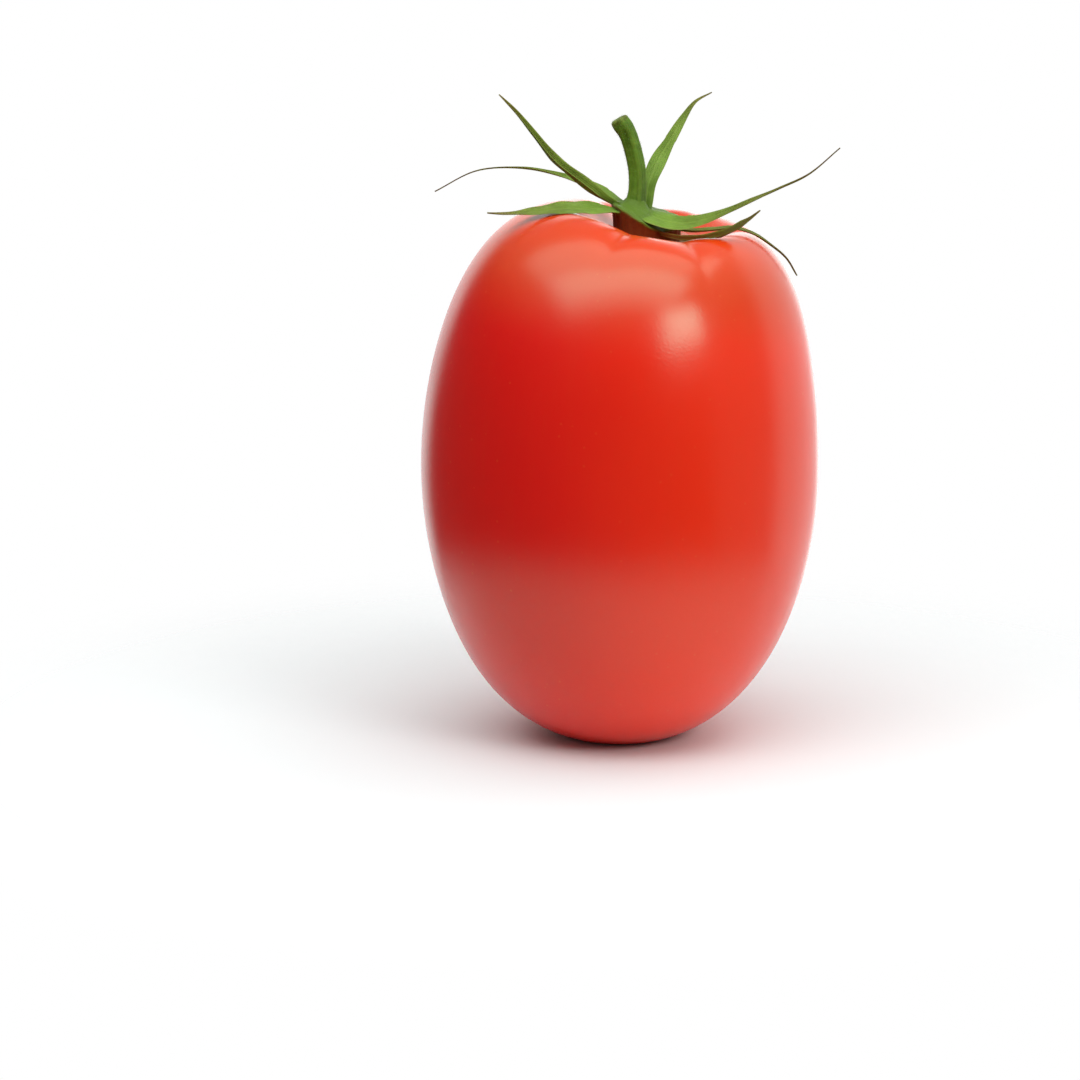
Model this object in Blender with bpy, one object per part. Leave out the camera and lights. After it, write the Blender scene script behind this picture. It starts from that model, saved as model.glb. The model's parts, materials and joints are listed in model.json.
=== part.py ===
"""A ripe plum tomato standing on its blossom end, with its calyx and a short stem.

Three solids, in metres with +Z up. The origin is the middle of the small flat
spot that the fruit rests on, and the side towards -Y is the front.
  fruit  the whole berry, with the hollow and the furrows round its stalk
  calyx  the hub, its neck and seven narrow sepals, grown as one piece
  stem   the short piece of stalk that was left on when it was picked
"""
import math
from collections import namedtuple

import bpy
import bmesh
from mathutils import Matrix, Vector
from mathutils.bvhtree import BVHTree

MM = 0.001

# Driving sizes of the fruit
GIRTH_RADIUS = 26.9 * MM
GIRTH_HEIGHT = 37.1 * MM
SHOULDER_RISE = 36.2 * MM
SHOULDER_POWER = 0.549
BASE_DROP = 37.9 * MM
BASE_POWER = 0.86
CROWN_SHIFT = 2.3 * MM
CROWN_TILT = math.radians(4.1)
LOBES = 3
LOBE_SIZE = 0.008
LOBE_TURN = math.radians(90)

# The hollow round the stalk, and the furrows that run out of it
HOLLOW_X = 5.0 * MM
HOLLOW_Y = -1.0 * MM
HOLLOW_DEPTH = 4.6 * MM
HOLLOW_SPREAD = 9.4 * MM
HOLLOW_POWER = 3.4
FURROW_SPREAD = 4.5 * MM
FURROW_WIDTH = 2.6 * MM

# Each furrow's turn about the hollow in degrees, then its depth and how far out it is deepest, in millimetres
FURROWS = ((-113, 0.5, 14), (-71, 0.5, 13.5), (5, 0.5, 10.5), (65, 0.5, 10.5), (125, 0.5, 10.5), (185, 0.5, 10.5))

# Places where the hollow's rim is lower: middle and spread in x and y, then depth, in millimetres
DIPS = ((5.0, -11.9, 7.2, 4.5, 1.05), (3.5, 8.5, 4.0, 4.5, 2.3), (-8.5, -5.5, 4.0, 4.5, 0.6))

# Faces round and along the fruit
FRUIT_SIDES = 72
FRUIT_RINGS_UP = 30
FRUIT_RINGS_DOWN = 17

# The calyx: a tilted hub on a short neck, and its sepals
HUB_CENTRE = Vector((3.6, -0.6, 72.2)) * MM
HUB_TILT = math.radians(13)
HUB_RADIUS = 5.0 * MM
HUB_SIDES = 28
HUB_DROOP = 0.9 * MM
HUB_DROOP_TURN = math.radians(-62)
HUB_DROOP_WIDTH = math.radians(32)
RIM_UNDER = 0.25 * MM
RIM_TOP = 0.32 * MM
DISH_HEIGHT = 0.1 * MM
NECK_RADIUS = 4.7 * MM
BOSS_SHIFT = -1.8 * MM
BOSS_RADIUS = 1.8 * MM
BOSS_TOP = 0.55 * MM
BLADE_THICKNESS = 0.8 * MM
TIP_THICKNESS = 0.6 * MM
TIP_WIDTH = 0.7 * MM
BLADE_STATIONS = 15
BLADE_SIDES = 8

# The stem
STEM_RADIUS = 1.17 * MM
STEM_FLARE = 0.45 * MM
STEM_KNUCKLE = 0.1 * MM
STEM_RIBS = 5
STEM_RIB_SIZE = 0.05
STEM_SIDES = 20
STEM_STATIONS = 22

GAP = 0.3 * MM

# A sepal: its middle line in millimetres from inside the hub to its tip, its greatest
# width in millimetres and where along it that is, its root's share of that width, how fast
# it narrows to the tip, its roll in degrees about its middle line, and how far its edges fold up
Sepal = namedtuple("Sepal", "name line width widest_at root taper roll fold")
SEPALS = (
    Sepal("right_back",
          ((3.8, 0.4, 72.3), (4.1, 1.6, 75.2), (5.2, 3.4, 78.2), (6.9, 6.3, 81.1), (8.6, 8.7, 83.6),
           (10.3, 10.3, 85.7), (12.6, 11.5, 86.9)),
          width=2.7, widest_at=0.38, root=0.4, taper=1.1, roll=35, fold=0.2),
    Sepal("left_up",
          ((1.2, -0.4, 72.2), (-1.9, -1.1, 73.9), (-5.6, -1.1, 76.6), (-8.9, -0.3, 79.2), (-11.5, 0.4, 82.3),
           (-13.9, 1.0, 85.2), (-16.3, 1.6, 87.6)),
          width=1.9, widest_at=0.4, root=0.8, taper=0.9, roll=66, fold=0.2),
    Sepal("left_back",
          ((1.5, 1.2, 72.3), (-1.1, 1.8, 73.4), (-4.3, 3.2, 75.2), (-8.6, 5.4, 76.5), (-13.4, 7.6, 77.1),
           (-19.5, 9.8, 76.4), (-25.2, 11.2, 73.4)),
          width=3.4, widest_at=0.15, root=0.7, taper=2.6, roll=-20, fold=0.2),
    Sepal("left_front",
          ((1.5, -2.0, 72.0), (-1.2, -3.0, 72.8), (-4.1, -3.8, 73.0), (-7.9, -4.8, 73.1), (-11.5, -5.6, 72.8),
           (-15.3, -6.4, 72.6), (-17.8, -6.9, 72.8)),
          width=3.9, widest_at=0.36, root=0.9, taper=1.3, roll=-17, fold=0.1),
    Sepal("right_long",
          ((2.6, -1.8, 72.3), (5.2, -4.3, 71.5), (7.9, -5.8, 71.2), (10.8, -6.5, 71.75), (14.2, -6.95, 73.1),
           (17.2, -7.3, 74.5), (20.9, -7.5, 76.2), (24.8, -8.1, 78.2), (28.7, -8.5, 81.6)),
          width=4.4, widest_at=0.1, root=0.9, taper=2.4, roll=34, fold=0.1),
    Sepal("front_low",
          ((3.0, -4.0, 70.7), (5.0, -6.3, 70.35), (7.7, -8.4, 70.25), (10.3, -9.8, 70.3), (12.9, -10.2, 70.6),
           (15.0, -9.4, 71.2), (16.9, -8.6, 72.2), (18.3, -8.2, 73.3)),
          width=1.6, widest_at=0.82, root=0.55, taper=1.0, roll=-50, fold=0.1),
    Sepal("right_droop",
          ((6.4, -0.8, 70.3), (9.3, -2.2, 69.9), (12.2, -3.6, 70.2), (14.9, -4.6, 70.6), (17.6, -4.4, 69.9),
           (20.0, -3.6, 68.3), (22.2, -2.7, 66.4), (23.7, -1.9, 63.7)),
          width=1.3, widest_at=0.5, root=1.0, taper=1.0, roll=20, fold=0.1),
)

# The stem's middle line in millimetres, from its foot to its cut end
STEM_LINE = ((2.05, -0.6, 73.45), (2.2, -0.4, 75.4), (2.05, -0.1, 78.3), (1.0, 0.0, 82.2), (-0.3, 0.0, 84.4))


def clear_scene():
    """Removes whatever objects the scene holds."""
    for old in list(bpy.data.objects):
        bpy.data.objects.remove(old, do_unlink=True)


def make_material(name, colour, roughness):
    """A plain Principled material with a colour and a roughness."""
    material = bpy.data.materials.new(name)
    material.use_nodes = True
    shader = material.node_tree.nodes["Principled BSDF"]
    shader.inputs["Base Color"].default_value = (*colour, 1)
    shader.inputs["Roughness"].default_value = roughness
    shader.inputs["Metallic"].default_value = 0
    material.diffuse_color = (*colour, 1)
    return material


def add_object(name, shape, material):
    """Turns a bmesh into a smooth-shaded object, and frees the bmesh."""
    bmesh.ops.triangulate(shape, faces=[f for f in shape.faces if len(f.verts) == 4])
    bmesh.ops.recalc_face_normals(shape, faces=shape.faces)
    mesh = bpy.data.meshes.new(name)
    shape.to_mesh(mesh)
    shape.free()
    mesh.shade_smooth()
    mesh.set_sharp_from_angle(angle=math.radians(50))
    mesh.materials.append(material)
    obj = bpy.data.objects.new(name, mesh)
    bpy.context.collection.objects.link(obj)
    return obj


def skin_rings(shape, rings, closed_ends=True):
    """Joins rings of vertices, each with the same number of points, into a tube."""
    count = len(rings[0])
    for lower, upper in zip(rings, rings[1:]):
        for i in range(count):
            j = (i + 1) % count
            shape.faces.new((lower[i], lower[j], upper[j], upper[i]))
    if closed_ends:
        shape.faces.new(list(reversed(rings[0])))
        shape.faces.new(rings[-1])


def spline_point(points, t):
    """A point on a smooth curve through the given points, t running from 0 to 1."""
    spans = len(points) - 1
    at = min(max(t, 0.0), 1.0) * spans
    i = min(int(at), spans - 1)
    u = at - i
    p1, p2 = points[i], points[i + 1]
    p0 = points[i - 1] if i > 0 else 2 * p1 - p2
    p3 = points[i + 2] if i + 2 <= spans else 2 * p2 - p1
    bend = 2 * p0 - 5 * p1 + 4 * p2 - p3
    twist = 3 * p1 - p0 - 3 * p2 + p3
    return 0.5 * (2 * p1 + (p2 - p0) * u + bend * u * u + twist * u ** 3)


def even_samples(curve, count, fine=400):
    """Count values of t between 0 and 1 at even distances along the curve."""
    path = [curve(i / fine) for i in range(fine + 1)]
    reach = [0.0]
    for a, b in zip(path, path[1:]):
        reach.append(reach[-1] + (b - a).length)
    samples = []
    at = 0
    for k in range(count):
        wanted = reach[-1] * k / (count - 1)
        while at < fine - 1 and reach[at + 1] < wanted:
            at += 1
        step = reach[at + 1] - reach[at]
        samples.append(min(1.0, (at + (wanted - reach[at]) / step) / fine))
    return samples


def shoulder_curve(t):
    """The fruit's upper outline, from its girth at t = 0 to the crown at t = 1."""
    angle = t * math.pi / 2
    radius = GIRTH_RADIUS * max(0.0, math.cos(angle)) ** SHOULDER_POWER
    return Vector((radius, GIRTH_HEIGHT + SHOULDER_RISE * math.sin(angle)))


def base_curve(t):
    """The fruit's lower outline, from the rim of its flat spot at t = 0 to its girth at t = 1."""
    angle = math.asin(GIRTH_HEIGHT / BASE_DROP) * (1 - t)
    radius = GIRTH_RADIUS * math.cos(angle) ** BASE_POWER
    return Vector((radius, GIRTH_HEIGHT - BASE_DROP * math.sin(angle)))


def hollow_drop(x, y):
    """How far the hollow, its furrows and its dips lower the crown at a place."""
    dx, dy = x - HOLLOW_X, y - HOLLOW_Y
    away = math.hypot(dx, dy)
    drop = HOLLOW_DEPTH * math.exp(-(away / HOLLOW_SPREAD) ** HOLLOW_POWER)
    for furrow, depth, reach in FURROWS:
        turn = math.atan2(dy, dx) - math.radians(furrow)
        aside = away * math.sin(turn) / FURROW_WIDTH
        beyond = (away * math.cos(turn) - reach * MM) / FURROW_SPREAD
        drop += depth * MM * math.exp(-aside ** 2 - beyond ** 2)
    for dip_x, dip_y, wide, deep, depth in DIPS:
        spread = ((x / MM - dip_x) / wide) ** 2 + ((y / MM - dip_y) / deep) ** 2
        drop += depth * MM * math.exp(-spread)
    return drop


def fruit_point(radius, height, turn):
    """The skin's point for a radius and a height of the outline, at an angle round the fruit."""
    high = min(max((height - GIRTH_HEIGHT) / SHOULDER_RISE, 0.0), 1.0)
    low = min(max(1 - height / GIRTH_HEIGHT, 0.0), 1.0)
    swell = LOBE_SIZE * (1 - low ** 4) * (1 - 0.5 * high ** 4)
    radius *= 1 + swell * math.cos(LOBES * (turn - LOBE_TURN))
    x = radius * math.cos(turn) + CROWN_SHIFT * high ** 2
    y = radius * math.sin(turn)
    z = height - math.tan(CROWN_TILT) * x * high ** 2
    if high > 0:
        z -= hollow_drop(x, y) * min(1.0, 3 * high)
    return Vector((x, y, z))


def make_fruit():
    """The berry as one closed solid with a flat spot below."""
    outline = [base_curve(t) for t in even_samples(base_curve, FRUIT_RINGS_DOWN)]
    outline += [shoulder_curve(t) for t in even_samples(shoulder_curve, FRUIT_RINGS_UP)[1:-1]]
    shape = bmesh.new()
    rings = []
    for radius, height in outline:
        ring = []
        for k in range(FRUIT_SIDES):
            ring.append(shape.verts.new(fruit_point(radius, height, math.tau * k / FRUIT_SIDES)))
        rings.append(ring)
    skin_rings(shape, rings, closed_ends=False)
    shape.faces.new(list(reversed(rings[0])))
    crown = shape.verts.new(fruit_point(0, GIRTH_HEIGHT + SHOULDER_RISE, 0))
    for k in range(FRUIT_SIDES):
        shape.faces.new((rings[-1][k], rings[-1][(k + 1) % FRUIT_SIDES], crown))
    return add_object("fruit", shape, make_material("skin", (0.60, 0.03, 0.015), 0.3))


def surface_finder(obj):
    """A function that gives the height of an object's top surface at a place."""
    tree = BVHTree.FromPolygons([v.co for v in obj.data.vertices], [p.vertices for p in obj.data.polygons])

    def top(x, y):
        hit = tree.ray_cast(Vector((x, y, 1)), Vector((0, 0, -1)))[0]
        return hit.z if hit else 0.0

    return top


def hub_matrix():
    """Places the hub: its middle, and its tilt down to the right."""
    return Matrix.Translation(HUB_CENTRE) @ Matrix.Rotation(HUB_TILT, 4, "Y")


def neck_length(top):
    """How far the neck reaches below the hub's middle to stop just above the skin."""
    reach = -3 * MM
    for _ in range(4):
        rim = [hub_matrix() @ Vector((NECK_RADIUS * math.cos(a), NECK_RADIUS * math.sin(a), reach))
               for a in (math.tau * k / HUB_SIDES for k in range(HUB_SIDES))]
        reach += 1.2 * GAP - min(p.z - top(p.x, p.y) for p in rim)
    return reach


def make_hub(top):
    """The dished hub, on a broad neck that stops just above the skin in the hollow."""
    foot = neck_length(top)
    sections = (
        (NECK_RADIUS, foot, 0.0),
        (NECK_RADIUS * 1.03, foot / 2, 0.0),
        (HUB_RADIUS * 0.97, -RIM_UNDER, 0.0),
        (HUB_RADIUS, 0.0, 0.0),
        (HUB_RADIUS * 0.93, RIM_TOP, 0.0),
        (BOSS_RADIUS * 1.4, DISH_HEIGHT, BOSS_SHIFT),
        (BOSS_RADIUS * 1.05, DISH_HEIGHT * 2, BOSS_SHIFT),
        (BOSS_RADIUS * 0.95, BOSS_TOP, BOSS_SHIFT),
    )
    shape = bmesh.new()
    rings = []
    for radius, height, shift in sections:
        ring = []
        for k in range(HUB_SIDES):
            turn = math.tau * k / HUB_SIDES
            aside = math.remainder(turn - HUB_DROOP_TURN, math.tau) / HUB_DROOP_WIDTH
            droop = HUB_DROOP * math.exp(-aside ** 2) if height > 1.1 * -RIM_UNDER and shift == 0 else 0
            ring.append(shape.verts.new((radius * math.cos(turn) + shift, radius * math.sin(turn), height - droop)))
        rings.append(ring)
    skin_rings(shape, rings)
    bmesh.ops.transform(shape, matrix=hub_matrix(), verts=shape.verts)
    return add_object("hub", shape, None)


def blade_width(sepal, t):
    """A lance-shaped blade's width at t along it, from its root at 0 to its tip at 1."""
    widest = sepal.width * MM
    if t < sepal.widest_at:
        ease = 0.5 - 0.5 * math.cos(math.pi * t / sepal.widest_at)
        return widest * (sepal.root + (1 - sepal.root) * ease)
    left = (1 - t) / (1 - sepal.widest_at)
    return TIP_WIDTH + (widest - TIP_WIDTH) * left ** sepal.taper


def make_blade(sepal):
    """One sepal: a lance-shaped blade, folded along its rib, that follows its middle line."""
    points = [Vector(p) * MM for p in sepal.line]

    def curve(t):
        return spline_point(points, t)

    shape = bmesh.new()
    rings = []
    for k, t in enumerate(even_samples(curve, BLADE_STATIONS)):
        along = k / (BLADE_STATIONS - 1)
        middle = curve(t)
        ahead = (curve(min(1, t + 0.01)) - curve(max(0, t - 0.01))).normalized()
        side = ahead.cross(Vector((0, 0, 1))).normalized()
        side.rotate(Matrix.Rotation(math.radians(sepal.roll) * min(1, 4 * along), 3, ahead))
        upward = side.cross(ahead)
        half = blade_width(sepal, along) / 2
        thick = (BLADE_THICKNESS + (TIP_THICKNESS - BLADE_THICKNESS) * along) / 2
        ring = []
        for i in range(BLADE_SIDES):
            turn = math.tau * i / BLADE_SIDES
            out = math.cos(turn)
            plump = math.copysign(abs(math.sin(turn)) ** 0.7, math.sin(turn))
            lift = thick * plump + sepal.fold * half * out * out
            ring.append(shape.verts.new(middle + side * half * out + upward * lift))
        rings.append(ring)
    skin_rings(shape, rings)
    return add_object("sepal_" + sepal.name, shape, None)


def make_calyx(top):
    """The hub and its sepals, joined into one solid."""
    green = make_material("calyx_green", (0.13, 0.22, 0.05), 0.6)
    pieces = bpy.data.collections.new("sepals")
    bpy.context.scene.collection.children.link(pieces)
    for sepal in SEPALS:
        blade = make_blade(sepal)
        bpy.context.collection.objects.unlink(blade)
        pieces.objects.link(blade)
    calyx = make_hub(top)
    calyx.name = "calyx"
    join = calyx.modifiers.new("join sepals", "BOOLEAN")
    join.operation = "UNION"
    join.operand_type = "COLLECTION"
    join.collection = pieces
    join.solver = "EXACT"
    bpy.context.view_layer.update()
    joined = bpy.data.meshes.new_from_object(calyx.evaluated_get(bpy.context.evaluated_depsgraph_get()))
    calyx.modifiers.clear()
    calyx.data = joined
    joined.materials.clear()
    joined.materials.append(green)
    for blade in list(pieces.objects):
        bpy.data.objects.remove(blade, do_unlink=True)
    bpy.data.collections.remove(pieces)
    return calyx


def make_stem():
    """The ribbed stalk: flared at its foot, bent over to the left, thicker at its cut end."""
    points = [Vector(p) * MM for p in STEM_LINE]

    def curve(t):
        return spline_point(points, t)

    shape = bmesh.new()
    rings = []
    hub_up = hub_matrix().to_3x3() @ Vector((0, 0, 1))
    for k, t in enumerate(even_samples(curve, STEM_STATIONS)):
        along = k / (STEM_STATIONS - 1)
        middle = curve(t)
        ahead = (curve(min(1, t + 0.01)) - curve(max(0, t - 0.01))).normalized()
        ahead = ahead.lerp(hub_up, max(0, 1 - 6 * along)).normalized()
        across = ahead.cross(Vector((0, -1, 0))).normalized()
        front = ahead.cross(across)
        radius = STEM_RADIUS + STEM_FLARE * math.exp(-(along / 0.07) ** 2)
        radius += STEM_KNUCKLE * math.exp(-((along - 0.93) / 0.08) ** 2)
        ring = []
        for i in range(STEM_SIDES):
            turn = math.tau * i / STEM_SIDES
            ribbed = radius * (1 + STEM_RIB_SIZE * math.cos(STEM_RIBS * turn))
            outward = across * math.cos(turn) + front * math.sin(turn)
            ring.append(shape.verts.new(middle + outward * ribbed))
        rings.append(ring)
    skin_rings(shape, rings)
    return add_object("stem", shape, make_material("stem_green", (0.10, 0.17, 0.03), 0.6))


def main():
    """Builds the whole tomato."""
    clear_scene()
    fruit = make_fruit()
    make_calyx(surface_finder(fruit))
    make_stem()


main()
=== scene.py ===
"""Looks of a ripe plum tomato that stands on its blossom end.

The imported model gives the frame, and finer pieces replace its three nodes: the
skin with its hollow and furrows, the calyx with its thin, curling sepals, and the
ribbed stem with its cut end. Short hairs and the studio are added to them.
Everything is in metres, with +Z up and the front of the tomato towards -Y.
"""
from __future__ import annotations

import json
import logging
import math
from dataclasses import dataclass, field
from enum import Enum
from typing import Callable, Sequence

import bmesh
import bpy
import numpy as np
from mathutils import Matrix, Vector
from mathutils.bvhtree import BVHTree

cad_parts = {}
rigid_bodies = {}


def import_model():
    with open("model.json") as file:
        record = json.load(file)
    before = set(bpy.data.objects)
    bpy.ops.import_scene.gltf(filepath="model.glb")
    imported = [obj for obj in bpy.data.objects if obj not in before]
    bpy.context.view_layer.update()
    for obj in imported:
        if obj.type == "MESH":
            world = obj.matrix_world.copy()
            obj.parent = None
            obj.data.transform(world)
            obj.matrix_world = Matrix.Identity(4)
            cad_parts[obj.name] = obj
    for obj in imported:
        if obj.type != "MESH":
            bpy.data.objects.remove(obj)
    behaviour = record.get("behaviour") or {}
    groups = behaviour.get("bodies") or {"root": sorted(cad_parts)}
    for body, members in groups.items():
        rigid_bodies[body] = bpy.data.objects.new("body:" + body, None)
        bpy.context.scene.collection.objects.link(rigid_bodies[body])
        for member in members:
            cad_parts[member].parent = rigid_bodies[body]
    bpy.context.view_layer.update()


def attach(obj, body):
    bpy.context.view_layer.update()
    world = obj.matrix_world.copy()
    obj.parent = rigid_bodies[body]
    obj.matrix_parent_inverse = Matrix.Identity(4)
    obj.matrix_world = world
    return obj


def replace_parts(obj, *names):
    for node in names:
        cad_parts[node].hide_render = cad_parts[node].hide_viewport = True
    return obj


MM = 0.001
BODY = "root"
SHARP_ABOVE = math.radians(60)
HUB_TILT = math.radians(13)
CURVE_STEP = 0.01
ABOVE_ALL = 0.2
UP = Vector((0, 0, 1))
WHITE = (1.0, 1.0, 1.0)
LOG = logging.getLogger("tomato")

Colour = tuple[float, float, float]
Place = tuple[float, float, float]
Span = tuple[float, float]
Rows = tuple[tuple[float, ...], ...]
Socket = bpy.types.NodeSocket
Material = bpy.types.Material
Piece = bpy.types.Object


class Slot(str, Enum):
    """The record's material slots."""

    SKIN = "skin"
    CALYX = "calyx_green"
    STEM = "stem_green"


class Trait(str, Enum):
    """Per-point facts that the pieces carry for their materials."""

    ACROSS = "across"
    ALONG = "along"
    DRY = "dry"
    UNDER = "under"


def smooth(value: np.ndarray | float, low: float, high: float) -> np.ndarray | float:
    """Eases from 0 to 1 as a value goes from low to high.

    Args:
        value: One number, or an array of them.
        low: Where the rise starts.
        high: Where the rise ends.

    Returns:
        The eased share, of the same shape as the value.
    """
    share = np.clip((value - low) / (high - low), 0.0, 1.0)
    return share * share * (3 - 2 * share)


def turns(count: int) -> np.ndarray:
    """Even angles round a full turn."""
    return np.arange(count) * math.tau / count


def bell(value: np.ndarray | float, middle: float, spread: float) -> np.ndarray | float:
    """A bell curve of height 1.

    Args:
        value: One number, or an array of them.
        middle: Where the curve is highest.
        spread: How far from the middle it falls to about a third.

    Returns:
        The curve's height, of the same shape as the value.
    """
    return np.exp(-((value - middle) / spread) ** 2)


def spline_point(points: Sequence[Vector], t: float) -> Vector:
    """A point on a smooth curve through the given points.

    Args:
        points: The points that the curve passes through.
        t: How far along the curve, from 0 to 1.

    Returns:
        The point.
    """
    spans = len(points) - 1
    at = min(max(t, 0.0), 1.0) * spans
    i = min(int(at), spans - 1)
    u = at - i
    p1, p2 = points[i], points[i + 1]
    p0 = points[i - 1] if i > 0 else 2 * p1 - p2
    p3 = points[i + 2] if i + 2 <= spans else 2 * p2 - p1
    bend = 2 * p0 - 5 * p1 + 4 * p2 - p3
    twist = 3 * p1 - p0 - 3 * p2 + p3
    return 0.5 * (2 * p1 + (p2 - p0) * u + bend * u * u + twist * u ** 3)


def even_samples(curve: Callable[[float], Vector], count: int, fine: int = 600) -> list[float]:
    """Places along a curve at even distances.

    Args:
        curve: Gives a point for a number from 0 to 1.
        count: How many places are wanted.
        fine: How many short steps measure the curve.

    Returns:
        The numbers to give to the curve.
    """
    path = [curve(i / fine) for i in range(fine + 1)]
    reach = np.cumsum([0.0] + [(b - a).length for a, b in zip(path, path[1:])])
    wanted = np.linspace(0, reach[-1], count)
    return [float(t) for t in np.interp(wanted, reach, np.linspace(0, 1, fine + 1))]


def stations_along(points: Rows, count: int) -> list[tuple[float, Vector, Vector]]:
    """Walks along a smooth line in even steps.

    Args:
        points: The points that the line passes through, in millimetres.
        count: How many stations are wanted.

    Returns:
        Each station's share of the length, its place and the way ahead there.
    """
    line = [Vector(point) * MM for point in points]

    def curve(t: float) -> Vector:
        """The line's own point."""
        return spline_point(line, t)

    stations = []
    for k, t in enumerate(even_samples(curve, count)):
        ahead = curve(min(1, t + CURVE_STEP)) - curve(max(0, t - CURVE_STEP))
        stations.append((k / (count - 1), curve(t), ahead.normalized()))
    return stations


def shade(mesh: bpy.types.Mesh) -> None:
    """Shades a mesh smooth, apart from its sharp edges."""
    mesh.shade_smooth()
    mesh.set_sharp_from_angle(angle=SHARP_ABOVE)


def add_mesh(name: str, points: np.ndarray, faces: list[Sequence[int]]) -> Piece:
    """Makes a smooth-shaded object from points and faces.

    Args:
        name: The object's name.
        points: One row of x, y, z for each point.
        faces: Each face's point numbers, in turn.

    Returns:
        The new object, linked into the scene.
    """
    mesh = bpy.data.meshes.new(name)
    mesh.from_pydata(points.tolist(), [], faces)
    shade(mesh)
    obj = bpy.data.objects.new(name, mesh)
    bpy.context.collection.objects.link(obj)
    return obj


def tube_faces(rings: int, sides: int) -> list[Sequence[int]]:
    """Faces of a tube whose points are stored ring by ring, closed by flat ends.

    Args:
        rings: How many rings there are.
        sides: How many points each ring has.

    Returns:
        The faces, pointing outwards where the rings turn anticlockwise about the way ahead.
    """
    ring, side = np.meshgrid(np.arange(rings - 1) * sides, np.arange(sides), indexing="ij")
    after = (side + 1) % sides
    corners = (ring + side, ring + after, ring + sides + after, ring + sides + side)
    faces = np.stack(corners, axis=-1).reshape(-1, 4).tolist()
    faces.append(list(range(sides))[::-1])
    faces.append(list(range((rings - 1) * sides, rings * sides)))
    return faces


def surface_of(obj: Piece) -> BVHTree:
    """An object's surface, for finding where it lies."""
    mesh = obj.data
    return BVHTree.FromPolygons([v.co for v in mesh.vertices], [p.vertices for p in mesh.polygons])


def height_at(tree: BVHTree, x: float, y: float) -> float | None:
    """How high a surface is at a place.

    Args:
        tree: The surface.
        x: The place, to the right.
        y: The place, towards the back.

    Returns:
        The height, or None where the surface doesn't reach.
    """
    hit = tree.ray_cast(Vector((x, y, ABOVE_ALL)), -UP)[0]
    return None if hit is None else hit.z


def give_trait(obj: Piece, trait: Trait, values: np.ndarray) -> None:
    """Stores one number for each point of an object.

    Args:
        obj: The object.
        trait: What the numbers tell.
        values: The numbers, in the order of the points.
    """
    layer = obj.data.attributes.new(trait.value, "FLOAT", "POINT")
    layer.data.foreach_set("value", np.asarray(values, dtype=np.float32).ravel())


def finish_piece(obj: Piece, material: Material, slot: Slot) -> Piece:
    """Gives a piece its material and its body.

    Args:
        obj: The piece.
        material: The material that covers it.
        slot: The record's slot that it takes its finish from. It is not used.

    Returns:
        The same piece.
    """
    obj.data.materials.clear()
    obj.data.materials.append(material)
    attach(obj, BODY)
    return obj


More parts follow.
